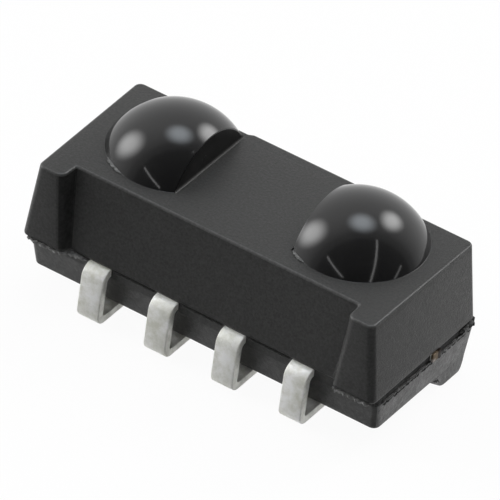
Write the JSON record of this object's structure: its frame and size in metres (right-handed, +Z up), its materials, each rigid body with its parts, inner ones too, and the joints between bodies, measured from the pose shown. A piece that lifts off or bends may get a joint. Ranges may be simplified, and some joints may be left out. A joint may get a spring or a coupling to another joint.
{
  "type": "infrared remote receiver",
  "caption": "Low black surface-mount receiver module with cut-off lens domes on top and a row of folded tin-plated leads along the front.",
  "frame": {"origin": "on the board plane, in the middle of the part's length and depth", "axes": "+X along the row of leads towards the part's right end seen from the front, +Y from the leads towards the back, +Z up from the board through the domes"},
  "size_m": [0.0066, 0.003, 0.0031],
  "materials": {
    "mould_compound": "near-black epoxy that lets infrared through, matte and finely rough on the flat faces, polished on the domes",
    "tinned_leads": "satin tin plating",
    "silicon": "polished silicon, opaque",
    "die_adhesive": "silver-filled epoxy",
    "bond_wire": "gold wire"
  },
  "bodies": {
    "root": {"package": "mould_compound", "ground_frame": "tinned_leads", "supply_lead": "tinned_leads", "output_lead": "tinned_leads", "photodiode_left": "silicon", "photodiode_right": "silicon", "receiver_ic": "silicon", "die_attach_left": "die_adhesive", "die_attach_right": "die_adhesive", "die_attach_ic": "die_adhesive", "wire_left_to_ic": "bond_wire", "wire_right_to_ic": "bond_wire", "wire_ic_to_supply": "bond_wire", "wire_ic_to_output": "bond_wire", "wire_ic_to_ground_left": "bond_wire", "wire_ic_to_ground_right": "bond_wire"}
  },
  "joints": []
}
